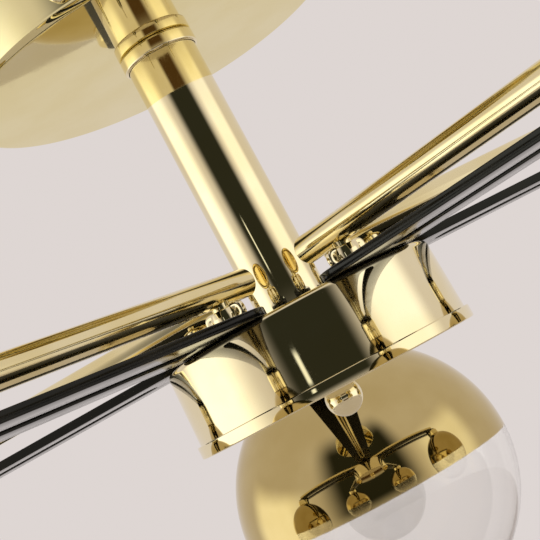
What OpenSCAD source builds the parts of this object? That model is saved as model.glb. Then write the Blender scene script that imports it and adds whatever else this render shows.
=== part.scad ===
// Five-arm ceiling light: a disc canopy, a short stem, a drum hub, and five slotted arms,
// each with a tube above it and a round glass shade below its outer end.
// Z is up. The origin is the centre of the canopy's rim, on the ceiling.

/* [Canopy] */
// outside diameter of the canopy dish
canopy_d = 140; // [110:1:180]
// height of the canopy dish
canopy_h = 28; // [18:1:40]
// wall of the pressed dish
canopy_t = 1.2; // [0.8:0.1:2]
// outside rounding of the dish's lower edge
canopy_r = 3; // [1:0.5:8]
// direction of the two side screws, degrees
side_az = 90; // [0:1:179]
// thread diameter of the side screws
side_screw_d = 4; // [3:0.5:5]

/* [Ceiling plate] */
// diameter of the round mounting plate
plate_d = 118; // [100:1:124]
// thickness of the mounting plate
plate_t = 2; // [1.5:0.1:3]
// diameter of the cable hole in its middle
entry_d = 20; // [14:1:30]
// width of the two bent tabs
tab_w = 20; // [14:1:30]
// distance between the two slot centres
slot_pitch = 80; // [60:1:95]
// length of each slot, end to end
slot_len = 20; // [10:1:28]
// width of each slot
slot_w = 5; // [4:0.1:6.5]

/* [Stem] */
// outside diameter of the stem
stem_d = 25; // [18:0.5:32]
// wall of the stem tube
stem_t = 1.5; // [1:0.1:3]
// drop from the canopy's underside to the hub's underside
drop = 131; // [100:1:400]
// diameter of the threaded tube inside the stem
rod_d = 10; // [8:0.5:12]
// wall of the threaded tube
rod_t = 1.5; // [1:0.1:2.5]
// outside diameter of the collar ring
collar_d = 27.2; // [27:0.1:36]
// height of the collar ring
collar_h = 5; // [3:0.5:10]

/* [Hub] */
// height of the hub, cover included
hub_h = 29.5; // [24:0.5:45]
// hub diameter at its top
hub_top_d = 96.4; // [90:0.2:110]
// hub diameter at its lower edge
hub_low_d = 98.2; // [92:0.2:112]
// wall of the spun hub
hub_t = 1.5; // [1:0.1:2.5]
// outside rounding of the hub's top edge
hub_r = 2; // [1:0.5:6]
// diameter of the cover's rim
cover_d = 100.6; // [96:0.2:116]
// height of the cover's rim
cover_h = 4.3; // [3:0.1:8]
// diameter of the ball nut under the hub
ball_d = 12.7; // [9:0.1:18]
// ball centre below the hub's underside
ball_drop = 3.6; // [2:0.1:5]

/* [Arms] */
// distance from the stem axis to each globe axis
arm_l = 250; // [200:1:350]
// distance from the stem axis to each arm stud
stud_at = 36; // [34:0.5:38]
// width of each slotted bar
slat_w = 36; // [30:1:42]
// thickness of each slotted bar
slat_t = 3; // [2:0.1:5]
// distance from the stem axis to the bar's inner tip
slat_in = 28.8; // [27:0.2:30]
// width of the long slot
gap_w = 9; // [6:0.5:12]
// inner end of the long slot
gap_in = 58; // [54:1:80]
// outer end of the long slot
gap_out = 226; // [120:1:226]
// diameter of the tube above each bar
tube_d = 9.5; // [8:0.5:12]
// wall of that tube
tube_t = 0.8; // [0.6:0.1:1.2]
// clear height between bar and tube
tube_gap = 6.5; // [6:0.1:12]
// distance from the stem axis to the tube's inner end
tube_in = 19.4; // [18.5:0.1:24]
// how far the tube runs past the globe axis
tube_past = 11; // [8:1:16]
// diameter of the hollow studs
stud_d = 6; // [5:0.5:7]
// bore of the hollow studs
stud_bore = 3.6; // [3:0.1:4.5]
// turning clearance of studs and threads, radial
turn_gap = 0.05; // [0.02:0.01:0.1]

/* [Wing nuts] */
// diameter of the nut's round base
nut_d = 9.6; // [8.5:0.1:11]
// height of the round base
nut_h = 3.4; // [2.5:0.1:4.5]
// tip to tip across the wings
wing_w = 16; // [12:0.1:18]
// height of the wings above the bar
wing_h = 6.1; // [5:0.1:11]
// thickness of each wing
wing_t = 2.2; // [1.6:0.1:3]

/* [Glass] */
// outside diameter of each globe
globe_d = 150; // [120:1:160]
// thickness of the glass
glass_t = 2; // [1.6:0.1:3]
// globe centre below the hub's underside
globe_drop = 58; // [56:0.5:75]
// diameter of the cup over each globe
cup_d = 44; // [40:1:60]
// wall of that cup
cup_t = 1; // [0.8:0.1:2]
// outside diameter of the lamp socket
socket_d = 27.9; // [26:0.1:30]
// lowest point of the lamp below the globe's centre
bulb_low = 29.5; // [10:0.5:45]
// diameter of the lamp's screw base
base_d = 14; // [12:0.5:16]
// diameter of the lamp's glass
bulb_d = 45; // [35:1:60]
// length of the lamp, base included
bulb_l = 78; // [60:1:100]

/* [Hidden] */
$fn = 96;
arms = 5;
turn = 360 / arms;
first = 105;
eps = 0.02;
canopy_z = -canopy_h;
hub_z = canopy_z - drop;
hub_top = hub_z + hub_h;
slat_top = hub_top + slat_t;
tube_z = slat_top + tube_gap + tube_d / 2;
globe_z = hub_z - globe_drop;
tab_x = sqrt(pow(canopy_d / 2 - canopy_t - 0.3, 2) - tab_w * tab_w / 4);
screw_z = canopy_z + 6.5;
tab_h = canopy_h - canopy_t - 1.3;
lead_d = 2.6;
cable_d = 5;
fit = 0.1;
seat = 0.05;
socket_grip = 18;
block_w = 26;
block_l = 14;
block_h = 8;
block_at = 16;
cable_fall = 11;
stud_flat = 9;
stud_end = 6;
plug_at = 1.5;
bore_in = tube_in + plug_at + 1;
rod_hi = canopy_z + canopy_t + 9;
rod_lo = hub_top - hub_t - 8;
nut_flat = 15;
cover_t = 1.2;
cover_in = hub_low_d / 2 + 0.25;
strap_z = hub_z + 11;
strap_x = 21;
slat_c = slat_in + slat_w / 2;
neck_out = 16;
neck_in = socket_d / 2 + turn_gap;
neck_top = globe_z + globe_d / 2 + 6;
cup_low = globe_z + sqrt(globe_d * globe_d - cup_d * cup_d) / 2 + 0.4;
socket_top = hub_top - cup_t;
bulb_c = globe_z - bulb_low + bulb_d / 2;
bulb_top = globe_z - bulb_low + bulb_l;
socket_low = bulb_top - socket_grip;

// a rod or tube from z0 up to z1
module post(d, z0, z1, bore = 0) {
    translate([0, 0, z0]) difference() {
        cylinder(d = d, h = z1 - z0);
        if (bore > 0) translate([0, 0, -1]) cylinder(d = bore, h = z1 - z0 + 2);
    }
}

// a hexagon nut across flats af, from z0 to z1
module hex(af, z0, z1, bore) {
    translate([0, 0, z0]) difference() {
        linear_extrude(z1 - z0) intersection_for(k = [0:2])
            rotate(60 * k) square([af, 4 * af], center = true);
        translate([0, 0, -1]) cylinder(d = bore, h = z1 - z0 + 2);
    }
}

// puts its children on arm number n
module on_arm(n) {
    rotate(first + (n - 1) * turn) children();
}

module canopy_dish() {
    color("#d6b24c") difference() {
        rotate_extrude() difference() {
            union() {
                translate([0, canopy_z]) square([canopy_d / 2 - canopy_r, canopy_h]);
                translate([0, canopy_z + canopy_r]) square([canopy_d / 2, canopy_h - canopy_r]);
                translate([canopy_d / 2 - canopy_r, canopy_z + canopy_r]) circle(canopy_r);
            }
            translate([-1, canopy_z + canopy_t]) square([canopy_d / 2 - canopy_r + 1, canopy_h]);
            translate([-1, canopy_z + canopy_r]) square([canopy_d / 2 - canopy_t + 1, canopy_h]);
            translate([canopy_d / 2 - canopy_r, canopy_z + canopy_r]) circle(canopy_r - canopy_t);
            translate([-200, canopy_z - 1]) square([200, canopy_h + 2]);
        }
        post(rod_d + 0.6, canopy_z - 1, canopy_z + 5);
        rotate(side_az) translate([0, 0, screw_z]) rotate([0, 90, 0])
            cylinder(d = side_screw_d + 0.6, h = canopy_d + 10, center = true);
    }
}

module ceiling_plate() {
    color("#b8bcc0") difference() {
        union() {
            post(plate_d, -plate_t, 0);
            for (a = [0, 180]) rotate(side_az + a) {
                translate([0, -tab_w / 2, -plate_t]) cube([tab_x, tab_w, plate_t]);
                translate([tab_x - plate_t, -tab_w / 2, -tab_h]) cube([plate_t, tab_w, tab_h]);
            }
        }
        post(entry_d, -plate_t - 1, 1);
        for (s = [-1, 1]) translate([0, s * slot_pitch / 2, -plate_t - 1]) linear_extrude(plate_t + 2) {
            square([slot_w, slot_len - slot_w], center = true);
            for (e = [-1, 1]) translate([0, e * (slot_len - slot_w) / 2]) circle(d = slot_w);
        }
        rotate(side_az) translate([0, 0, screw_z]) rotate([0, 90, 0])
            cylinder(d = side_screw_d + fit, h = 3 * tab_x, center = true);
    }
}

module side_screws() {
    color("#c8a444") for (s = [0, 180]) rotate(side_az + s) translate([0, 0, screw_z])
        rotate([0, 90, 0]) {
            translate([0, 0, canopy_d / 2 - 9]) cylinder(d = side_screw_d, h = 9.3);
            translate([0, 0, canopy_d / 2 + 0.2]) cylinder(d = 8, h = 5);
        }
}

module stem_tube() {
    color("#d6b24c") post(stem_d, hub_top, canopy_z, stem_d - 2 * stem_t);
}

module stem_collar() {
    r = collar_d / 2;
    e = (collar_d - stem_d - 0.4) / 2;
    color("#d6b24c") translate([0, 0, canopy_z - collar_h]) rotate_extrude() difference() {
        union() {
            translate([0, e]) square([r, collar_h - 2 * e]);
            for (z = [e, collar_h - e]) translate([r - e, z]) circle(e);
        }
        translate([-1, -1]) square([r - e + 1, collar_h + 2]);
    }
}

module stem_rod() {
    color("#b8bcc0") post(rod_d, rod_lo, rod_hi, rod_d - 2 * rod_t);
}

module lock_nuts() {
    color("#b8bcc0") {
        hex(nut_flat, canopy_z + canopy_t, canopy_z + canopy_t + 5, rod_d + 0.1);
        hex(nut_flat, hub_top - hub_t - 5, hub_top - hub_t, rod_d + 0.1);
    }
}

module hub_shell() {
    low = hub_z + cover_t;
    r1 = hub_low_d / 2;
    r2 = hub_top_d / 2;
    color("#d6b24c") difference() {
        rotate_extrude() difference() {
            union() {
                polygon([[0, low], [r1, low], [r2, hub_top - hub_r], [0, hub_top - hub_r]]);
                translate([0, hub_top - hub_r - 0.5]) square([r2 - hub_r, hub_r + 0.5]);
                translate([r2 - hub_r, hub_top - hub_r]) circle(hub_r);
            }
            polygon([[-1, low - 1], [r1 - hub_t, low - 1], [r2 - hub_t - 0.6, hub_top - hub_t],
                [-1, hub_top - hub_t]]);
            translate([-200, low - 1]) square([200, hub_h + 2]);
        }
        post(rod_d + 0.6, hub_top - 5, hub_top + 1);
        for (n = [1:arms]) on_arm(n) translate([stud_at, 0, 0]) post(stud_d + 0.2, hub_top - 5, hub_top + 1);
    }
}

module hub_cover() {
    color("#d6b24c") translate([0, 0, hub_z]) difference() {
        cylinder(d = cover_d, h = cover_h);
        translate([0, 0, cover_t]) cylinder(r = cover_in, h = cover_h);
        translate([0, 0, -1]) cylinder(d = 5.4, h = 5);
    }
}

module cover_strap() {
    w = 12;
    t = 2;
    color("#b8bcc0") difference() {
        union() {
            translate([-strap_x, -w / 2, strap_z]) cube([2 * strap_x, w, t]);
            for (s = [-1, 1]) translate([s * (strap_x - t / 2) - t / 2, -w / 2, strap_z])
                cube([t, w, hub_top - hub_t - strap_z]);
        }
        post(4.1, strap_z - 1, strap_z + t + 1);
    }
}

module ball_nut() {
    color("#d6b24c") {
        translate([0, 0, hub_z - ball_drop]) intersection() {
            sphere(d = ball_d);
            translate([0, 0, ball_drop - 2 * ball_d]) cube(4 * ball_d, center = true);
        }
        post(4, hub_z - ball_drop, strap_z + 3);
    }
}

module arm_studs() {
    color("#c8a444") for (n = [1:arms]) on_arm(n) translate([stud_at, 0, 0])
        post(stud_d, hub_top - hub_t - stud_end, tube_z - tube_d / 2 + 2, stud_bore);
}

module stud_nuts() {
    color("#b8bcc0") for (n = [1:arms]) on_arm(n) translate([stud_at, 0, 0])
        hex(stud_flat, hub_top - hub_t - stud_end + 2, hub_top - hub_t, stud_d + 0.1);
}

module terminal_block() {
    z1 = hub_top - hub_t;
    color("#e8e4d8") rotate(first - 90) difference() {
        translate([-block_w / 2, -block_at - block_l, z1 - block_h]) cube([block_w, block_l, block_h]);
        for (k = [-1, 0, 1]) {
            translate([block_h * k, -block_at - block_l - 1, z1 - block_h / 2]) rotate([-90, 0, 0])
                cylinder(d = 3.4, h = block_l + 2);
            translate([block_h * k, -block_at - block_l / 2, z1 - block_h - 1]) cylinder(d = 3.6, h = 5);
        }
    }
}

module stem_cable() {
    z1 = hub_top - hub_t - cable_fall;
    color("#e8e4d8") rotate(first - 90) {
        post(cable_d, z1, rod_hi + 3);
        translate([0, 0, z1]) sphere(d = cable_d);
        translate([0, 0, z1]) rotate([90, 0, 0]) cylinder(d = cable_d, h = block_at + block_l / 2);
    }
}

module arm_bar() {
    color("#15151a") difference() {
        translate([0, 0, hub_top + seat]) linear_extrude(slat_t - seat) difference() {
            union() {
                translate([slat_c, -slat_w / 2]) square([arm_l - slat_c, slat_w]);
                for (x = [slat_c, arm_l]) translate([x, 0]) circle(d = slat_w);
            }
            translate([gap_in + gap_w / 2, -gap_w / 2]) square([gap_out - gap_in - gap_w, gap_w]);
            for (x = [gap_in + gap_w / 2, gap_out - gap_w / 2]) translate([x, 0]) circle(d = gap_w);
            translate([stud_at, 0]) circle(d = stud_d + 2 * turn_gap);
            translate([arm_l, 0]) circle(d = stud_d + fit);
        }
    }
}

module arm_tube() {
    color("#c8a040") translate([0, 0, tube_z]) difference() {
        translate([tube_in, 0, 0]) rotate([0, 90, 0]) cylinder(d = tube_d, h = arm_l + tube_past - tube_in);
        translate([tube_in - 1, 0, 0]) rotate([0, 90, 0])
            cylinder(d = tube_d - 2 * tube_t, h = 1 + plug_at);
        translate([bore_in, 0, 0]) rotate([0, 90, 0])
            cylinder(d = tube_d - 2 * tube_t, h = arm_l + tube_past - 2 * tube_t - bore_in);
        translate([stud_at, 0, -tube_d]) cylinder(d = stud_d + 2 * turn_gap, h = tube_d);
        translate([arm_l, 0, -tube_d]) cylinder(d = stud_d + fit, h = tube_d);
    }
}

module end_post() {
    color("#c8a444") translate([arm_l, 0, 0]) {
        post(stud_d, socket_top - 5, tube_z - tube_d / 2 + 2, stud_bore);
        post(8.4, slat_top, slat_top + tube_gap - 0.05, stud_bore);
    }
}

module arm_lead() {
    color("#e8e4d8") {
        translate([stud_at, 0, 0]) post(lead_d, hub_top - hub_t - 9, tube_z);
        for (x = [stud_at, arm_l]) translate([x, 0, tube_z]) sphere(d = lead_d);
        translate([stud_at, 0, tube_z]) rotate([0, 90, 0]) cylinder(d = lead_d, h = arm_l - stud_at);
        translate([arm_l, 0, 0]) post(lead_d, bulb_top + 1, tube_z);
    }
}

module wing_nut() {
    y = wing_w / 2 - wing_h / 2 + 0.4;
    color("#c8a444") translate([stud_at, 0, slat_top + 0.05]) difference() {
        union() {
            cylinder(d = nut_d, h = nut_h);
            intersection() {
                rotate([90, 0, 0]) translate([0, 0, -wing_t / 2]) linear_extrude(wing_t) difference() {
                    union() {
                        for (s = [-1, 1]) translate([s * y, wing_h / 2]) circle(d = wing_h, $fn = 48);
                        translate([-y, 0]) square([2 * y, wing_h * 0.55]);
                    }
                    for (s = [-1, 1]) translate([s * (y + 0.5), wing_h / 2 + 0.5]) circle(d = 2.6, $fn = 32);
                }
                translate([-wing_w, -wing_w, 0]) cube([2 * wing_w, 2 * wing_w, wing_h]);
            }
        }
        translate([0, 0, -1]) cylinder(d = stud_d + 2 * turn_gap, h = wing_h + 2);
    }
}

module globe_cup() {
    h = hub_top - cup_low;
    color("#c8a040") translate([arm_l, 0, cup_low]) difference() {
        rotate_extrude() difference() {
            union() {
                square([cup_d / 2, h - 3]);
                square([cup_d / 2 - 3, h]);
                translate([cup_d / 2 - 3, h - 3]) circle(3);
            }
            translate([-1, -1]) square([cup_d / 2 - cup_t + 1, h - 3 + 1]);
            translate([-1, -1]) square([cup_d / 2 - 3 + 1, h - cup_t + 1]);
            translate([cup_d / 2 - 3, h - 3]) circle(3 - cup_t);
            translate([-50, -2]) square([50, h + 4]);
        }
        translate([0, 0, -1]) cylinder(d = stud_d + fit, h = h + 2);
    }
}

module lamp_socket() {
    color("#efe9da") translate([arm_l, 0, 0]) difference() {
        union() {
            post(socket_d, neck_top - 8, socket_top);
            post(socket_d - 3, socket_low, socket_top);
        }
        post(base_d + 2 * turn_gap, socket_low - 1, bulb_top + 0.3);
        post(stud_d + fit, bulb_top, socket_top + 1);
    }
}

module bulb() {
    r = bulb_d / 2;
    neck = base_d / 2 - 0.4;
    t = bulb_c + sqrt((r + 12) * (r + 12) - (neck + 12) * (neck + 12));
    k = r / (r + 12);
    color("#fff4d8") translate([arm_l, 0, 0]) rotate_extrude() difference() {
        union() {
            translate([0, t]) square([base_d / 2, bulb_top - t]);
            polygon([[0, bulb_c], [(neck + 12) * k, bulb_c + (t - bulb_c) * k], [neck + 12, t],
                [0, t]]);
            translate([0, bulb_c]) circle(r);
        }
        translate([neck + 12, t]) circle(12);
        translate([-100, globe_z - 80]) square([100, 300]);
    }
}

module globe() {
    r = globe_d / 2;
    color("#c8a85a", 0.5) translate([arm_l, 0, 0]) rotate_extrude() difference() {
        union() {
            translate([0, globe_z]) circle(r, $fn = 160);
            translate([0, globe_z]) square([neck_out, neck_top - globe_z]);
        }
        translate([0, globe_z]) circle(r - glass_t, $fn = 160);
        translate([-1, globe_z]) square([neck_in + 1, r + 20]);
        translate([-200, globe_z - 100]) square([200, 300]);
    }
}

canopy_dish();
ceiling_plate();
side_screws();
stem_tube();
stem_collar();
stem_rod();
lock_nuts();
hub_shell();
hub_cover();
cover_strap();
ball_nut();
arm_studs();
stud_nuts();
terminal_block();
stem_cable();
for (n = [1:arms]) {
    on_arm(n) arm_bar();
    on_arm(n) arm_tube();
    on_arm(n) end_post();
    on_arm(n) arm_lead();
    on_arm(n) wing_nut();
    on_arm(n) globe_cup();
    on_arm(n) lamp_socket();
    on_arm(n) bulb();
    on_arm(n) globe();
}
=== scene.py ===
import math
import bpy
import bmesh
import numpy as np
from mathutils import Matrix, Vector


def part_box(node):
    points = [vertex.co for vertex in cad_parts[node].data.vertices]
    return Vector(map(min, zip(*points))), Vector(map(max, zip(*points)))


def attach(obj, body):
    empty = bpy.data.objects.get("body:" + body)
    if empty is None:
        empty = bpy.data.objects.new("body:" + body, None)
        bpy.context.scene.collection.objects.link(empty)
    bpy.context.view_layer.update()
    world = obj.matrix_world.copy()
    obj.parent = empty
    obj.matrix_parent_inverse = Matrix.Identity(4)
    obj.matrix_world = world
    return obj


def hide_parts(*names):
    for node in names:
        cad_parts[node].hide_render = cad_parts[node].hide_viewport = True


# Five-arm ceiling light: mirror gold metal, black slotted arms and half-mirrored glass globes.
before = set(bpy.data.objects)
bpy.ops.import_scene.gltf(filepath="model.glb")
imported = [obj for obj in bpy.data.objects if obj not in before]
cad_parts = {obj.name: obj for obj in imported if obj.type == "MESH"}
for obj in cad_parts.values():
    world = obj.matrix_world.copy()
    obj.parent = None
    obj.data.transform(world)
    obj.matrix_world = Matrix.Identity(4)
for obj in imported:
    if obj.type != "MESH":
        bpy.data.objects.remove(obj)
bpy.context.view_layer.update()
mm = 0.001
print("frame loaded,", len(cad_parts), "nodes")

# a surface on a grid: points[i, j] stands at row i and column j, and a side that closes is wrapped
def gridMesh(name, points, wrapRows=False, wrapCols=False, sharp=35):
    rows, cols = points.shape[:2]
    i = np.arange(rows if wrapRows else rows - 1)
    j = np.arange(cols if wrapCols else cols - 1)
    i, j = np.meshgrid(i, j, indexing="ij")
    a = i * cols + j
    b = i * cols + (j + 1) % cols
    c = ((i + 1) % rows) * cols + (j + 1) % cols
    d = ((i + 1) % rows) * cols + j
    quads = np.stack([a, b, c, d], -1).reshape(-1, 4)
    mesh = bpy.data.meshes.new(name)
    mesh.from_pydata(points.reshape(-1, 3).tolist(), [], quads.tolist())
    finishMesh(mesh, sharp)
    return mesh


# merges the poles and seams, points the faces outwards and shades smooth up to the sharp angle
def finishMesh(mesh, sharp):
    bm = bmesh.new()
    bm.from_mesh(mesh)
    bmesh.ops.remove_doubles(bm, verts=bm.verts, dist=1e-6)
    bmesh.ops.dissolve_degenerate(bm, dist=1e-7, edges=bm.edges)
    bmesh.ops.recalc_face_normals(bm, faces=bm.faces)
    bm.to_mesh(mesh)
    bm.free()
    mesh.polygons.foreach_set("use_smooth", np.ones(len(mesh.polygons), bool))
    mesh.set_sharp_from_angle(angle=math.radians(sharp))
    mesh.update()


# one object out of one or more meshes, riding on a body and standing for its CAD nodes
def piece(name, meshes, body, material, nodes):
    bm = bmesh.new()
    for mesh in meshes:
        bm.from_mesh(mesh)
    joined = meshes[0]
    bm.to_mesh(joined)
    bm.free()
    joined.name = name
    joined.materials.clear()
    joined.materials.append(material)
    obj = bpy.data.objects.new(name, joined)
    bpy.context.scene.collection.objects.link(obj)
    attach(obj, body)
    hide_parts(*nodes)


# corners (x, y) with a radius each become an outline whose corners are arcs tangent to both sides
def rounded(corners, closed=False, steps=6):
    pts = np.array([c[:2] for c in corners], float)
    count = len(pts)
    out = []
    for k, corner in enumerate(corners):
        radius = corner[2] if len(corner) > 2 else 0
        if radius <= 0 or (not closed and k in (0, count - 1)):
            out.append(pts[k:k + 1])
            continue
        p, q, r = pts[k - 1], pts[k], pts[(k + 1) % count]
        u = (p - q) / np.linalg.norm(p - q)
        v = (r - q) / np.linalg.norm(r - q)
        half = math.acos(np.clip(u @ v, -1, 1)) / 2
        centre = q + (u + v) / np.linalg.norm(u + v) * radius / math.sin(half)
        start = q + u * radius / math.tan(half) - centre
        end = q + v * radius / math.tan(half) - centre
        a0 = math.atan2(start[1], start[0])
        turn = (math.atan2(end[1], end[0]) - a0 + math.pi) % (2 * math.pi) - math.pi
        t = a0 + turn * np.linspace(0, 1, steps + 1)
        out.append(centre + radius * np.stack([np.cos(t), np.sin(t)], -1))
    return np.concatenate(out)


# the profile (radius, height) turned about the vertical line through (x, y)
def turned(name, profile, x=0.0, y=0.0, closed=False, segments=128, sharp=35):
    t = np.arange(segments) * 2 * math.pi / segments
    r = profile[:, 0][:, None]
    high = np.broadcast_to(profile[:, 1][:, None], (len(profile), segments))
    points = np.stack([x + r * np.cos(t), y + r * np.sin(t), high], -1)
    return gridMesh(name, points, wrapRows=closed, wrapCols=True, sharp=sharp)


# the profile (radius, distance) turned about the line from start along direction
def turnedAbout(name, profile, start, direction, segments=64):
    d = np.array(direction, float) / np.linalg.norm(direction)
    e = np.cross(d, [0, 0, 1.0])
    e = e / np.linalg.norm(e)
    f = np.cross(d, e)
    t = np.arange(segments) * 2 * math.pi / segments
    around = np.cos(t)[:, None] * e + np.sin(t)[:, None] * f
    radius, distance = profile[:, 0][:, None, None], profile[:, 1][:, None, None]
    points = np.array(start) + distance * d + radius * around
    return gridMesh(name, points, wrapCols=True)


# moves points given as (along the arm, across it, up) onto arm number n
def onArm(points, n):
    a = armAngle(n)
    c, s = math.cos(a), math.sin(a)
    along, across, up = points[..., 0], points[..., 1], points[..., 2]
    return np.stack([along * c - across * s, along * s + across * c, up], -1)


# the direction of arm number n, an even share of the turn for each arm
def armAngle(n):
    return math.radians(arms["first"] + arms["turn"] * (n - 1))


# where a point of arm number n stands, by its distance from the light's middle
def alongArm(n, distance):
    a = armAngle(n)
    return distance * math.cos(a), distance * math.sin(a)


# wraps a shader value so that sums and products of values add their Math nodes
class Value:
    def __init__(self, tree, socket):
        self.tree = tree
        self.socket = socket

    def math(self, operation, *others):
        return Shader(self.tree).node("ShaderNodeMath", {"operation": operation}, [self, *others])

    def __add__(self, other):
        return self.math("ADD", other)

    def __sub__(self, other):
        return self.math("SUBTRACT", other)

    def __mul__(self, other):
        return self.math("MULTIPLY", other)

    def __rsub__(self, other):
        return (self * -1.0) + other

    __radd__ = __add__
    __rmul__ = __mul__

    def ramp(self, low, high):
        return Shader(self.tree).node("ShaderNodeMapRange", {"interpolation_type": "SMOOTHSTEP"},
                                      {"Value": self, "From Min": low, "From Max": high})


# adds nodes to one node tree: a type, its settings, then the values or links of its sockets
class Shader:
    def __init__(self, tree):
        self.tree = tree

    def node(self, kind, settings=None, inputs=None, output=0):
        made = self.tree.nodes.new(kind)
        for key, setting in (settings or {}).items():
            setattr(made, key, setting)
        pairs = inputs.items() if isinstance(inputs, dict) else enumerate(inputs or [])
        for key, given in pairs:
            if isinstance(given, Value):
                self.tree.links.new(given.socket, made.inputs[key])
            else:
                made.inputs[key].default_value = given
        return Value(self.tree, made.outputs[output])

    # a colour between two colours by a factor
    def blend(self, factor, low, high):
        made = self.tree.nodes.new("ShaderNodeMix")
        made.data_type = "RGBA"
        sockets = {s.identifier: s for s in made.inputs}
        self.tree.links.new(factor.socket, sockets["Factor_Float"])
        for key, given in (("A_Color", low), ("B_Color", high)):
            if isinstance(given, Value):
                self.tree.links.new(given.socket, sockets[key])
            else:
                sockets[key].default_value = (*given, 1)
        out = [s for s in made.outputs if s.identifier == "Result_Color"][0]
        return Value(self.tree, out)

    def place(self):
        return self.node("ShaderNodeTexCoord", output=3)

    def noise(self, scale, detail=3.0, rough=0.5):
        return self.node("ShaderNodeTexNoise", None, {"Vector": self.place(), "Scale": scale,
                                                      "Detail": detail, "Roughness": rough})

    def bump(self, height, strength, distance):
        return self.node("ShaderNodeBump", None, {"Height": height, "Strength": strength,
                                                  "Distance": distance})

    def surface(self, inputs):
        return self.node("ShaderNodeBsdfPrincipled", None, inputs)

    def done(self, shaderValue):
        out = self.tree.nodes.new("ShaderNodeOutputMaterial")
        self.tree.links.new(shaderValue.socket, out.inputs["Surface"])


# an empty material and the shader that fills it
def newMaterial(name):
    material = bpy.data.materials.new(name)
    material.use_nodes = True
    material.node_tree.nodes.clear()
    return material, Shader(material.node_tree)


goldFinish = {"pale": (0.91, 0.82, 0.55), "deep": (0.88, 0.77, 0.47), "cloud": 35.0, "wipe": 160.0,
              "smooth": 0.03, "hazed": 0.07, "ripple": 40.0, "peel": 0.004, "peelDeep": 0.0001}


# polished plating: cloudy between two golds, a faint haze in the roughness and a trace of ripple
def polishedGold(name="polishedGold", look=goldFinish):
    material, s = newMaterial(name)
    cloud = s.noise(look["cloud"], detail=4.0)
    wipe = s.noise(look["wipe"], detail=5.0, rough=0.65).ramp(0.45, 0.75)
    colour = s.blend(cloud.ramp(0.35, 0.65), look["deep"], look["pale"])
    rough = look["smooth"] + wipe * (look["hazed"] - look["smooth"])
    ripple = s.bump(s.noise(look["ripple"], detail=1.0), look["peel"], look["peelDeep"])
    s.done(s.surface({"Base Color": colour, "Metallic": 1.0, "Roughness": rough, "Normal": ripple}))
    return material


blackFinish = {"black": (0.004, 0.004, 0.004), "brown": (0.010, 0.009, 0.007), "low": 0.10, "high": 0.20,
               "ior": 1.38, "specular": 0.36, "tint": (0.97, 1.0, 0.86, 1), "cloud": 60.0, "dust": 900.0,
               "grain": 450.0, "dustHigh": 0.3, "peel": 0.02, "peelDeep": 0.0001}


# baked black lacquer: near black with a warm cloud and a small orange peel
def blackLacquer():
    material, s = newMaterial("blackLacquer")
    look = blackFinish
    cloud = s.noise(look["cloud"])
    colour = s.blend(cloud.ramp(0.3, 0.7), look["black"], look["brown"])
    dust = s.noise(look["dust"], detail=2.0).ramp(0.62, 0.75)
    rough = look["low"] + cloud.ramp(0.3, 0.8) * (look["high"] - look["low"])
    skin = s.noise(look["grain"], detail=2.0) + dust * look["dustHigh"]
    peel = s.bump(skin, look["peel"], look["peelDeep"])
    s.done(s.surface({"Base Color": colour, "Roughness": rough, "IOR": look["ior"], "Normal": peel,
                      "Specular IOR Level": look["specular"], "Specular Tint": look["tint"]}))
    return material


steelFinish = {"light": (0.66, 0.67, 0.68), "dark": (0.50, 0.51, 0.53), "rough": 0.32, "worn": 0.15,
               "spangle": 380.0, "marks": 700.0, "markBump": 0.08, "markDeep": 0.0002}


# zinc plated steel: spangled patches and fine rolling marks
def zincSteel():
    material, s = newMaterial("zincSteel")
    look = steelFinish
    spangle = s.node("ShaderNodeTexVoronoi", None, {"Vector": s.place(), "Scale": look["spangle"]},
                     "Distance")
    marks = s.noise(look["marks"], detail=4.0)
    colour = s.blend(spangle.ramp(0.1, 0.6), look["dark"], look["light"])
    rough = look["rough"] + marks * look["worn"]
    s.done(s.surface({"Base Color": colour, "Metallic": 1.0, "Roughness": rough,
                      "Normal": s.bump(marks, look["markBump"], look["markDeep"])}))
    return material


socketFinish = {"warm": (0.80, 0.77, 0.70), "white": (0.88, 0.86, 0.80), "cloud": 120.0, "rough": 0.18,
                "dulled": 0.1, "coat": 0.4, "grain": 300.0, "grainBump": 0.03, "grainDeep": 0.0003}


# glazed white socket body with a faint warm cloud
def glazedSocket():
    material, s = newMaterial("glazedSocket")
    look = socketFinish
    cloud = s.noise(look["cloud"])
    grain = s.bump(s.noise(look["grain"], detail=2.0), look["grainBump"], look["grainDeep"])
    s.done(s.surface({"Base Color": s.blend(cloud, look["warm"], look["white"]), "Normal": grain,
                      "Roughness": look["rough"] + cloud * look["dulled"], "Coat Weight": look["coat"]}))
    return material


sleeveFinish = {"warm": (0.78, 0.76, 0.70), "white": (0.86, 0.85, 0.80), "cloud": 200.0, "rough": 0.42,
                "dulled": 0.15, "grain": 1200.0, "grainBump": 0.06, "grainDeep": 0.0002}


# matt plastic sleeve of the wires and the terminal block
def wireSleeve():
    material, s = newMaterial("wireSleeve")
    look = sleeveFinish
    cloud = s.noise(look["cloud"], detail=4.0)
    grain = s.bump(s.noise(look["grain"], detail=2.0), look["grainBump"], look["grainDeep"])
    s.done(s.surface({"Base Color": s.blend(cloud, look["warm"], look["white"]), "Normal": grain,
                      "Roughness": look["rough"] + cloud * look["dulled"]}))
    return material


lampFinish = {"glass": (0.80, 0.79, 0.74), "dim": 0.94, "cap": (0.62, 0.61, 0.60), "veil": 0.14,
              "rim": 0.55, "rimFall": 3.0, "cloud": 90.0, "facing": 0.25, "coat": 0.5, "rough": 0.10,
              "dulled": 0.06, "capRough": 0.25, "capDulled": 0.1}


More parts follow.
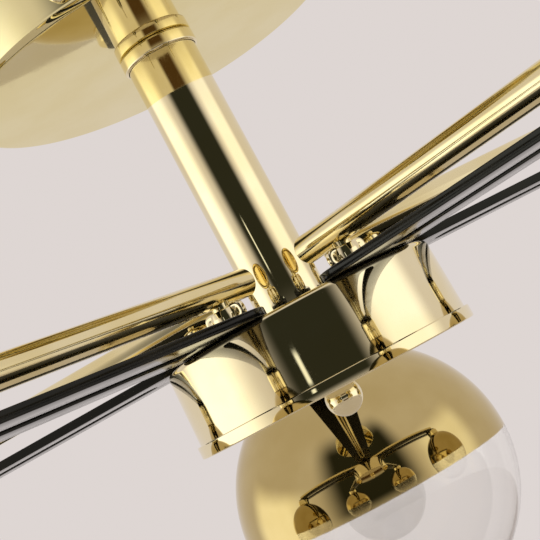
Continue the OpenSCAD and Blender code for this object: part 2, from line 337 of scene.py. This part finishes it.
# lamp: thin veiled glass, denser towards its rim, with a metal screw cap above the cap line
def lampSkin(capLine):
    material, s = newMaterial("lampSkin")
    height = s.node("ShaderNodeSeparateXYZ", None, [s.place()], 2)
    capMask = height.math("GREATER_THAN", capLine)
    look = lampFinish
    cloud = s.noise(look["cloud"])
    colour = s.blend(cloud, look["glass"], tuple(look["dim"] * c for c in look["glass"]))
    facing = s.node("ShaderNodeLayerWeight", None, {"Blend": look["facing"]}, "Facing")
    veil = look["veil"] + facing.math("POWER", look["rimFall"]) * (look["rim"] - look["veil"])
    glass = s.surface({"Base Color": colour, "Roughness": look["rough"] + cloud * look["dulled"],
                       "Coat Weight": look["coat"], "Alpha": veil})
    cap = s.surface({"Base Color": (*look["cap"], 1), "Metallic": 1.0,
                     "Roughness": look["capRough"] + cloud * look["capDulled"]})
    s.done(s.node("ShaderNodeMixShader", None, [capMask, glass, cap]))
    return material


globeFinish = {"mirror": (0.60, 0.48, 0.22), "deep": (0.54, 0.42, 0.175), "cloud": 30.0, "edge": 0.0006,
               "wave": 140.0, "waveHigh": 0.0004, "rough": 0.02, "dulled": 0.03, "ior": 1.45,
               "clear": (0.985, 0.985, 0.98, 1), "smear": 25.0, "smeared": 0.01}


# half-mirrored glass: a gold vacuum coat above the line, bare clear glass below it
def halfMirror(mirrorLine):
    material, s = newMaterial("halfMirror")
    height = s.node("ShaderNodeSeparateXYZ", None, [s.place()], 2)
    look = globeFinish
    wave = (s.noise(look["wave"], detail=2.0) - 0.5) * look["waveHigh"]
    mask = (height + wave).ramp(mirrorLine - look["edge"], mirrorLine + look["edge"])
    cloud = s.noise(look["cloud"])
    colour = s.blend(cloud.ramp(0.3, 0.7), look["deep"], look["mirror"])
    coat = s.surface({"Base Color": colour, "Metallic": 1.0,
                      "Roughness": look["rough"] + cloud * look["dulled"]})
    glass = s.surface({"Base Color": look["clear"], "Transmission Weight": 1.0, "IOR": look["ior"],
                       "Roughness": s.noise(look["smear"], detail=2.0) * look["smeared"]})
    s.done(s.node("ShaderNodeMixShader", None, [mask, glass, coat]))
    return material


# paints a carried-over CAD node
def paint(nodeName, material):
    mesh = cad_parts[nodeName].data
    mesh.materials.clear()
    mesh.materials.append(material)


# driving sizes: how the arms stand round the hub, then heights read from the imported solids
arms = {"count": 5, "first": 105.0, "turn": 72.0, "reach": 0.250, "stud": 0.036}
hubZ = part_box("hub_cover")[0].z
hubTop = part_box("hub_shell")[1].z
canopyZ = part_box("canopy_dish")[0].z
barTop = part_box("arm_bar_1")[1].z
globeRadius = 75 * mm
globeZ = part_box("globe_1")[0].z + globeRadius

gold = polishedGold()
# the same gold for tubes, posts, cups and studs, made rougher and given a deeper tint; the deeper tint is
# painted shade for the metal's darker reflection of itself
shadedGold = polishedGold("tubeGoldPaintedShade", {**goldFinish, "pale": (0.90, 0.80, 0.49), "deep": (0.86, 0.74, 0.40),
                                     "smooth": 0.09, "hazed": 0.14})
# the dish's copy of the gold, yellower than the rest: this tint is a painted reflection of the walls that
# its underside mirrors
canopyReflectedGold = polishedGold("canopyGoldPaintedReflection", {**goldFinish, "pale": (0.88, 0.79, 0.44), "deep": (0.85, 0.75, 0.38)})
black = blackLacquer()
steel = zincSteel()
sleeve = wireSleeve()
porcelain = glazedSocket()
print("materials made")

canopy = {"radius": 70 * mm, "height": 28 * mm, "wall": 1.2 * mm, "edge": 3 * mm, "hole": 5.3 * mm,
          "lip": 0.4 * mm}


# pressed dish: one closed outline, down the outside, across and back up the inside
def makeCanopy():
    side, wall, edge = canopy["radius"], canopy["wall"], canopy["edge"]
    low, top, hole = canopyZ, canopyZ + canopy["height"], canopy["hole"]
    lip = canopy["lip"]
    outline = rounded([(hole, low), (side, low, edge), (side, top, lip), (side - wall, top, lip),
                       (side - wall, low + wall, edge - wall), (hole, low + wall)], closed=True, steps=10)
    mesh = turned("canopyDish", outline, closed=True, segments=256)
    piece("canopyDish", [mesh], "frame", canopyReflectedGold, ["canopy_dish"])


screws = {"side": 90.0, "rise": 6.5 * mm, "head": 4 * mm, "deep": 5 * mm, "shank": 2 * mm,
          "start": 61 * mm, "seat": 70.2 * mm, "lip": 0.3 * mm, "rim": 0.55, "dome": 1.6 * mm,
          "recess": 0.9 * mm, "recessIn": 0.8 * mm, "recessFloor": 0.6, "recessTip": 0.5}


# pan head screws: a shank and a domed head in one outline, turned about the screw's own line
def makeSideScrews():
    s = screws
    seat, deep, lip = s["seat"], s["deep"], s["lip"]
    outline = rounded([(0, s["start"]), (s["shank"], s["start"], lip), (s["shank"], seat),
                       (s["head"], seat, lip), (s["head"], seat + s["rim"] * deep, s["dome"]),
                       (s["recess"], seat + deep, lip), (s["recessIn"], seat + s["recessFloor"] * deep),
                       (0, seat + s["recessTip"] * deep)], steps=8)
    made = []
    centre = (0, 0, canopyZ + s["rise"])
    for side in (0, 180):
        a = math.radians(s["side"] + side)
        made.append(turnedAbout("sideScrew", outline, centre, (math.cos(a), math.sin(a), 0)))
    piece("sideScrews", made, "frame", gold, ["side_screws"])


stem = {"radius": 12.5 * mm, "wall": 1.5 * mm, "lip": 0.3 * mm, "collar": 13.6 * mm, "collarHigh": 5 * mm,
        "collarEdge": 0.85 * mm, "collarPlay": 0.2 * mm}


# stem tube with eased ends and the round-edged collar ring under the canopy, both turned about the stem
def makeStem():
    side, lip = stem["radius"], stem["lip"]
    bore = side - stem["wall"]
    outline = rounded([(bore, hubTop), (side, hubTop, lip), (side, canopyZ, lip), (bore, canopyZ)],
                      closed=True)
    piece("stemTube", [turned("stemTube", outline, closed=True)], "frame", gold, ["stem_tube"])
    low = canopyZ - stem["collarHigh"]
    inside = side + stem["collarPlay"]
    outline = rounded([(inside, low), (stem["collar"], low, stem["collarEdge"]),
                       (stem["collar"], canopyZ, stem["collarEdge"]), (inside, canopyZ)],
                      closed=True, steps=12)
    piece("stemCollar", [turned("stemCollar", outline, closed=True)], "frame", gold, ["stem_collar"])


hub = {"topRadius": 48.2 * mm, "lowRadius": 49.1 * mm, "wall": 1.5 * mm, "edge": 2 * mm,
       "foot": 0.2 * mm, "taper": 0.6 * mm, "innerEdge": 0.8 * mm, "hole": 5.3 * mm,
       "coverRadius": 50.3 * mm, "coverHigh": 4.3 * mm, "plate": 1.2 * mm, "coverPlay": 0.25 * mm,
       "nutHole": 2.7 * mm, "rimLow": 0.5 * mm, "rimTop": 0.45 * mm, "rimIn": 0.2 * mm}


# spun drum: top plate and slightly flared wall in one closed outline
def makeHub():
    h = hub
    low = hubZ + h["plate"]
    under = hubTop - h["wall"]
    outline = rounded([(h["hole"], hubTop), (h["topRadius"], hubTop, h["edge"]),
                       (h["lowRadius"], low, h["foot"]), (h["lowRadius"] - h["wall"], low),
                       (h["topRadius"] - h["wall"] - h["taper"], under, h["innerEdge"]), (h["hole"], under)],
                      closed=True, steps=10)
    mesh = turned("hubShell", outline, closed=True, segments=256)
    piece("hubShell", [mesh], "frame", gold, ["hub_shell"])
    rim = h["coverRadius"]
    inner = h["lowRadius"] + h["coverPlay"]
    top = hubZ + h["coverHigh"]
    outline = rounded([(h["nutHole"], hubZ), (rim, hubZ, h["rimLow"]), (rim, top, h["rimTop"]),
                       (inner, top, h["rimIn"]), (inner, hubZ + h["plate"]),
                       (h["nutHole"], hubZ + h["plate"])], closed=True, steps=6)
    mesh = turned("hubCover", outline, closed=True, segments=256)
    piece("hubCover", [mesh], "frame", gold, ["hub_cover"])


ball = {"radius": 6.35 * mm, "drop": 3.6 * mm, "shaft": 2 * mm, "top": 14 * mm, "steps": 48}


# ball nut: a sphere cut flat where it seats, with its threaded shaft above
def makeBallNut():
    centre = hubZ - ball["drop"]
    seat = math.acos(ball["drop"] / ball["radius"])
    t = np.linspace(math.pi, seat, ball["steps"])
    arc = np.stack([ball["radius"] * np.sin(t), centre + ball["radius"] * np.cos(t)], -1)
    arc[0, 0] = 0
    shaft = np.array([(ball["shaft"], hubZ), (ball["shaft"], hubZ + ball["top"]), (0, hubZ + ball["top"])])
    mesh = turned("ballNut", np.concatenate([arc, shaft]), segments=96)
    piece("ballNut", [mesh], "cover_nut", gold, ["ball_nut"])


bar = {"inner": 28.8 * mm, "width": 36 * mm, "thick": 2.95 * mm, "slotWidth": 9 * mm, "slotIn": 58 * mm,
       "slotOut": 226 * mm, "edge": 0.4 * mm, "endSteps": 40, "sideSteps": 16, "edgeSteps": 4}


# stadium outline between two end centres, always with the same count of points
def stadium(a, b, radius):
    end = np.linspace(0, math.pi, bar["endSteps"])
    t = np.linspace(0, 1, bar["sideSteps"] + 1)[1:-1]
    near = np.stack([a + radius * np.cos(end + math.pi / 2), radius * np.sin(end + math.pi / 2)], -1)
    far = np.stack([b + radius * np.cos(end - math.pi / 2), radius * np.sin(end - math.pi / 2)], -1)
    lower = np.stack([a + (b - a) * t, -radius + 0 * t], -1)
    upper = np.stack([b + (a - b) * t, radius + 0 * t], -1)
    return np.concatenate([near, lower, far, upper])


# slotted bar: the band between the slot's outline and the bar's outline, with eased edges all round
def makeBar(n):
    b = bar
    half, slot = b["width"] / 2, b["slotWidth"] / 2
    outerA, outerB = b["inner"] + half, arms["reach"]
    innerA, innerB = b["slotIn"] + slot, b["slotOut"] - slot
    top, low = barTop, barTop - b["thick"]
    # a quarter round on each edge: down the outer side from the top face, then back up the slot's side
    quarter = np.linspace(0, math.pi / 2, b["edgeSteps"] + 1)
    out, back = b["edge"] * (1 - np.sin(quarter)), b["edge"] * (1 - np.cos(quarter))
    insets = np.concatenate([out, back])
    outer = [stadium(outerA, outerB, half - inset) for inset in insets]
    inner = [stadium(innerA, innerB, slot + inset) for inset in insets]
    heights = np.concatenate([top - back, low + out, low + back, top - out])
    flat = np.array(outer + inner)
    points = onArm(np.dstack([flat, np.broadcast_to(heights[:, None], flat.shape[:2])]), n)
    mesh = gridMesh(f"armBar{n}", points, wrapRows=True, wrapCols=True, sharp=30)
    piece(f"armBar{n}", [mesh], f"arm_{n}", black, [f"arm_bar_{n}"])


tube = {"radius": 4.75 * mm, "wall": 0.8 * mm, "inner": 19.4 * mm, "past": 11 * mm, "gap": 6.5 * mm,
        "lip": 0.3 * mm, "recess": 1.5 * mm, "plugEdge": 0.5 * mm, "capEdge": 0.8 * mm}


# the tube above a bar: cut square with a recessed plug at the stem end, closed by a cap at the other
def makeTube(n):
    t = tube
    z = barTop + t["gap"] + t["radius"]
    end = arms["reach"] + t["past"]
    side, bore = t["radius"], t["radius"] - t["wall"]
    plug = t["inner"] + t["recess"]
    outline = rounded([(0, plug), (bore, plug, t["plugEdge"]), (bore, t["inner"], t["lip"]),
                       (side, t["inner"], t["lip"]), (side, end, t["capEdge"]), (0, end)], steps=6)
    mesh = turnedAbout(f"armTube{n}", outline, (0, 0, z), (*alongArm(n, 1), 0), segments=96)
    piece(f"armTube{n}", [mesh], f"arm_{n}", shadedGold, [f"arm_tube_{n}"])


post = {"radius": 3 * mm, "spacer": 4.2 * mm, "bore": 1.8 * mm, "below": 6 * mm, "intoTube": 2 * mm,
        "lip": 0.3 * mm, "spacerLip": 0.4 * mm, "play": 0.05 * mm}


# hollow end post with the spacer that holds the tube off the bar: one outline turned about the post
def makePost(n):
    p = post
    low = hubTop - p["below"]
    top = barTop + tube["gap"]
    spacerTop = top - p["play"]
    postTop = top + p["intoTube"]
    outline = rounded([(p["bore"], low), (p["radius"], low, p["lip"]), (p["radius"], barTop),
                       (p["spacer"], barTop, p["spacerLip"]), (p["spacer"], spacerTop, p["spacerLip"]),
                       (p["radius"], spacerTop), (p["radius"], postTop, p["lip"]), (p["bore"], postTop)],
                      closed=True, steps=4)
    x, y = alongArm(n, arms["reach"])
    mesh = turned(f"endPost{n}", outline, x, y, closed=True, segments=64)
    piece(f"endPost{n}", [mesh], f"arm_{n}", shadedGold, [f"end_post_{n}"])


wing = {"base": 4.7 * mm, "baseHigh": 3.3 * mm, "neck": 4.2 * mm, "bore": 3.05 * mm, "top": 5.5 * mm,
        "ear": 3.05 * mm, "earAt": 4.95 * mm, "thick": 1.45 * mm, "dimple": 0.6, "square": 0.75,
        "lift": 0.05 * mm, "lip": 0.3 * mm, "shoulder": 1.5 * mm, "crown": 0.6 * mm, "flat": 0.45,
        "dishAt": 0.8, "dishFall": 1.5, "earRows": 33, "earCols": 72}


# wing nut: a barrel that narrows upwards and two dished ears; an ear is a round disc thick at its rim
def makeWingNut(n):
    w = wing
    z = barTop + w["lift"]
    x, y = alongArm(n, arms["stud"])
    top = z + w["top"]
    outline = rounded([(w["bore"], z), (w["base"], z, w["lip"]),
                       (w["base"], z + w["baseHigh"], w["shoulder"]),
                       (w["neck"], top, w["crown"]), (w["bore"], top)], closed=True, steps=8)
    made = [turned("wingBase", outline, x, y, closed=True, segments=72)]
    v = np.linspace(0, math.pi, w["earRows"])[:, None]
    u = (np.arange(w["earCols"]) * 2 * math.pi / w["earCols"])[None, :]
    out = np.sign(np.cos(u)) * np.abs(np.cos(u)) ** w["square"]
    high = np.sign(np.sin(u)) * np.abs(np.sin(u)) ** w["square"]
    across = np.sin(v)
    dish = (1 - np.clip(across / w["dishAt"], 0, 1) ** 2) ** w["dishFall"]
    rim = 1 - (1 - w["dimple"]) * dish
    side = np.sign(np.cos(v)) * np.abs(np.cos(v)) ** w["flat"] * w["thick"] * rim
    for s in (-1, 1):
        points = np.stack([arms["stud"] + side + 0 * u, s * w["earAt"] + w["ear"] * across * out,
                           z + w["ear"] * (1 + across * high)], -1)
        made.append(gridMesh("ear", onArm(points, n), wrapCols=True, sharp=60))
    piece(f"wingNut{n}", made, f"clamp_nut_{n}", gold, [f"wing_nut_{n}"])


cup = {"radius": 22 * mm, "wall": 1 * mm, "edge": 3 * mm, "bore": 3.05 * mm, "aboveGlobe": 0.4 * mm,
       "lip": 0.3 * mm}


# spun cup over the globe's neck: one closed outline, across its top, down its side and back inside
def makeCup(n):
    c = cup
    low = globeZ + math.sqrt(globeRadius ** 2 - c["radius"] ** 2) + c["aboveGlobe"]
    outline = rounded([(c["bore"], hubTop), (c["radius"], hubTop, c["edge"]), (c["radius"], low, c["lip"]),
                       (c["radius"] - c["wall"], low, c["lip"]),
                       (c["radius"] - c["wall"], hubTop - c["wall"], c["edge"] - c["wall"]),
                       (c["bore"], hubTop - c["wall"])], closed=True, steps=8)
    x, y = alongArm(n, arms["reach"])
    mesh = turned(f"globeCup{n}", outline, x, y, closed=True, segments=128)
    piece(f"globeCup{n}", [mesh], f"arm_{n}", shadedGold, [f"globe_cup_{n}"])


glass = {"wall": 2 * mm, "neckOut": 16 * mm, "neckIn": 14 * mm, "neckHigh": 81 * mm, "lip": 0.4 * mm,
         "mirrorDrop": 1.4 * mm, "steps": 90}


# blown globe: inside pole, inner sphere, neck, outer sphere and outside pole in one outline
def makeGlobe(n):
    g = glass
    inside = globeRadius - g["wall"]
    t = np.linspace(math.pi, math.asin(g["neckIn"] / inside), g["steps"])
    inner = np.stack([inside * np.sin(t), globeZ + inside * np.cos(t)], -1)
    inner[0, 0] = 0
    t = np.linspace(math.asin(g["neckOut"] / globeRadius), math.pi, g["steps"])
    outer = np.stack([globeRadius * np.sin(t), globeZ + globeRadius * np.cos(t)], -1)
    outer[-1, 0] = 0
    high = globeZ + g["neckHigh"]
    e = g["lip"]
    lip = np.array([(g["neckIn"], high - e), (g["neckIn"] + e, high), (g["neckOut"] - e, high),
                    (g["neckOut"], high - e)])
    x, y = alongArm(n, arms["reach"])
    mesh = turned(f"globe{n}", np.concatenate([inner, lip, outer]), x, y, segments=160, sharp=50)
    piece(f"globe{n}", [mesh], f"shade_{n}", mirrorGlass, [f"globe_{n}"])


lamp = {"radius": 22.5 * mm, "below": 29.5 * mm, "long": 78 * mm, "base": 7 * mm, "neckArc": 12 * mm,
        "neckIn": 0.4 * mm, "threads": 6, "threadDeep": 0.35 * mm, "capLow": 0.8 * mm, "capTop": 4 * mm,
        "capLine": 25 * mm, "tip": ((0.75, 1.4 * mm), (0.35, 1.0 * mm), (0.3, 0.0), (0.0, 0.0)),
        "ballSteps": 60, "waistSteps": 16, "threadSteps": 8}


# golf-ball lamp: round glass, a waist arc and a screw cap whose thread is a row of ridges
def makeLamp(n):
    bulb = lamp
    centre = globeZ - bulb["below"] + bulb["radius"]
    top = globeZ - bulb["below"] + bulb["long"]
    neck = bulb["base"] - bulb["neckIn"]
    reach = bulb["radius"] + bulb["neckArc"]
    waist = centre + math.sqrt(reach ** 2 - (neck + bulb["neckArc"]) ** 2)
    meet = math.atan2(neck + bulb["neckArc"], waist - centre)
    t = np.linspace(math.pi, meet, bulb["ballSteps"])
    ballPart = np.stack([bulb["radius"] * np.sin(t), centre + bulb["radius"] * np.cos(t)], -1)
    ballPart[0, 0] = 0
    t = np.linspace(meet + math.pi, math.pi * 1.5, bulb["waistSteps"])
    arc = bulb["neckArc"]
    waistPart = np.stack([neck + arc * (1 + np.sin(t)), waist + arc * np.cos(t)], -1)
    z = np.linspace(waist + bulb["capLow"], top - bulb["capTop"],
                    bulb["threadSteps"] * bulb["threads"])
    around = np.linspace(0, 2 * math.pi * bulb["threads"], len(z))
    ridge = bulb["base"] - bulb["threadDeep"] * (0.5 + 0.5 * np.cos(around))
    capPart = np.stack([ridge, z], -1)
    tip = np.array([(bulb["base"] * part, top - drop) for part, drop in bulb["tip"]])
    x, y = alongArm(n, arms["reach"])
    outline = np.concatenate([ballPart, waistPart, capPart, tip])
    mesh = turned(f"lamp{n}", outline, x, y, segments=96, sharp=50)
    piece(f"lamp{n}", [mesh], f"lamp_{n}", lampGlass, [f"bulb_{n}"])


socket = {"radius": 13.95 * mm, "slim": 12.45 * mm, "bore": 7.05 * mm, "postBore": 3.05 * mm,
          "neckPart": 8 * mm, "cover": 18 * mm, "topEdge": 0.5 * mm, "stepEdge": 0.4 * mm,
          "stepDrop": 0.2 * mm, "lowEdge": 0.8 * mm, "lampPlay": 0.3 * mm}


# lamp holder: a wide collar where the globe's neck rides and a slimmer barrel below
def makeSocket(n):
    s = socket
    top = hubTop - cup["wall"]
    step = globeZ + glass["neckHigh"] - s["neckPart"]
    lampTop = globeZ - lamp["below"] + lamp["long"]
    low = lampTop - s["cover"]
    edge = s["stepEdge"]
    roof = lampTop + s["lampPlay"]
    outline = rounded([(s["postBore"], top), (s["radius"], top, s["topEdge"]), (s["radius"], step, edge),
                       (s["slim"], step - s["stepDrop"], edge), (s["slim"], low, s["lowEdge"]),
                       (s["bore"], low, edge), (s["bore"], roof), (s["postBore"], roof)],
                      closed=True, steps=5)
    x, y = alongArm(n, arms["reach"])
    mesh = turned(f"lampSocket{n}", outline, x, y, closed=True, segments=96)
    piece(f"lampSocket{n}", [mesh], f"arm_{n}", porcelain, [f"lamp_socket_{n}"])


mirrorGlass = halfMirror(globeZ - glass["mirrorDrop"])
lampGlass = lampSkin(globeZ - lamp["below"] + lamp["long"] - lamp["capLine"])
makeCanopy()
makeSideScrews()
makeStem()
makeHub()
makeBallNut()
print("canopy, stem and hub made")
for number in range(1, arms["count"] + 1):
    makeBar(number)
    makeTube(number)
    makePost(number)
    makeWingNut(number)
    makeCup(number)
    makeGlobe(number)
    makeLamp(number)
    makeSocket(number)
    paint(f"arm_lead_{number}", sleeve)
print("arms and globes made")
for name in ("ceiling_plate", "stem_rod", "lock_nuts", "cover_strap", "stud_nuts"):
    paint(name, steel)
paint("arm_studs", shadedGold)
for name in ("terminal_block", "stem_cable"):
    paint(name, sleeve)

# the camera stands level with the hub and rolls, as the photograph does
shot = {"azimuth": 283.4, "distance": 0.4016, "rise": 0.004, "focal": 1209.5, "frame": 540.0,
        "yaw": -0.004, "pitch": 0.102, "roll": -0.493, "sensor": 36.0, "clip": (0.01, 50.0)}


# aims by yaw and pitch, rolls about the line of sight, then turns the whole round the light
def makeCamera():
    c = shot
    yaw, pitch, roll = c["yaw"], c["pitch"], c["roll"]
    right = Vector((math.cos(yaw), -math.sin(yaw), 0))
    ahead = Vector((math.sin(yaw) * math.cos(pitch), math.cos(yaw) * math.cos(pitch), math.sin(pitch)))
    up = right.cross(ahead)
    rolledRight = right * math.cos(roll) + up * math.sin(roll)
    rolledUp = -right * math.sin(roll) + up * math.cos(roll)
    turn = Matrix.Rotation(math.radians(c["azimuth"] - 270), 3, "Z")
    data = bpy.data.cameras.new("camera")
    data.sensor_width = c["sensor"]
    data.lens = c["focal"] / c["frame"] * c["sensor"]
    data.clip_start, data.clip_end = c["clip"]
    cam = bpy.data.objects.new("camera", data)
    bpy.context.scene.collection.objects.link(cam)
    axes = Matrix((turn @ rolledRight, turn @ rolledUp, turn @ -ahead)).transposed()
    place = turn @ Vector((0, -c["distance"], hubZ + c["rise"]))
    cam.matrix_world = Matrix.Translation(place) @ axes.to_4x4()
    bpy.context.scene.camera = cam


studio = {"wall": (0.730, 0.672, 0.650), "dark": (0.026, 0.026, 0.017), "wood": (0.08, 0.045, 0.02),
          "panel": (1.50, 1.46, 1.38), "panels": ((-124, -106, -80, -48), (38, 58, 84, 102)),
          "weaker": 0.7, "panelHeight": (-26, -14, 14, 28), "gap": (-50, -24, 25, 43),
          "gapHeight": (-14, -1, 40, 60), "slit": (-19, -17, -16, -14), "slitHeight": (0, 1, 5, 6.5),
          "slitColour": (1.1, 1.1, 1.0), "woodHeight": (-60, -40, -16, -8), "woodAround": (-20, -8, 22, 40),
          "floor": -1.6, "floorRings": (0.0, 2.0, 4.0), "floorSteps": 64,
          "floorDark": (0.70, 0.66, 0.63), "floorPale": (0.74, 0.70, 0.67)}


# a soft band of a value between four stops: rises from a to b and falls from c to d
def band(value, stops):
    a, b, c, d = (math.radians(v) for v in stops)
    return value.ramp(a, b) * (1 - value.ramp(c, d))


# soft studio: an even pale surround for the eye, and for the metal two white panels beside a dark gap
def makeStudio():
    toCamera = math.radians(shot["azimuth"])
    world = bpy.data.worlds.new("studio")
    bpy.context.scene.world = world
    world.use_nodes = True
    world.node_tree.nodes.clear()
    s = Shader(world.node_tree)
    look = s.node("ShaderNodeTexCoord", output=0)
    facing = s.node("ShaderNodeVectorMath", {"operation": "DOT_PRODUCT"},
                    [look, (math.cos(toCamera), math.sin(toCamera), 0)], 1)
    aside = s.node("ShaderNodeVectorMath", {"operation": "DOT_PRODUCT"},
                   [look, (-math.sin(toCamera), math.cos(toCamera), 0)], 1)
    around = aside.math("ARCTAN2", facing)
    height = s.node("ShaderNodeSeparateXYZ", None, [look], 2).math("ARCSINE")
    gap = band(around, studio["gap"]) * band(height, studio["gapHeight"])
    panels = band(around, studio["panels"][0]) + band(around, studio["panels"][1]) * studio["weaker"]
    panels = panels * band(height, studio["panelHeight"])
    colour = s.blend(panels, studio["wall"], studio["panel"])
    colour = s.blend(gap, colour, studio["dark"])
    slit = band(around, studio["slit"]) * band(height, studio["slitHeight"])
    colour = s.blend(slit, colour, studio["slitColour"])
    wood = band(around, studio["woodAround"]) * band(height, studio["woodHeight"])
    colour = s.blend(wood, colour, studio["wood"])
    eye = s.node("ShaderNodeLightPath")
    colour = s.blend(eye, colour, studio["wall"])
    shade = s.node("ShaderNodeBackground", None, {"Color": colour, "Strength": 1.0})
    out = world.node_tree.nodes.new("ShaderNodeOutputWorld")
    world.node_tree.links.new(shade.socket, out.inputs["Surface"])
    bpy.context.scene.view_settings.view_transform = "Standard"


# pale round floor, well below the light
def makeFloor():
    rings = np.array([(r, studio["floor"]) for r in studio["floorRings"]])
    floorMesh = turned("floor", rings, segments=studio["floorSteps"])
    material, s = newMaterial("paleFloor")
    tint = s.blend(s.noise(1.5), studio["floorDark"], studio["floorPale"])
    s.done(s.surface({"Base Color": tint, "Roughness": 0.6}))
    floorMesh.materials.append(material)
    floorObj = bpy.data.objects.new("floor", floorMesh)
    bpy.context.scene.collection.objects.link(floorObj)


makeCamera()
makeStudio()
makeFloor()
print("camera and studio made")
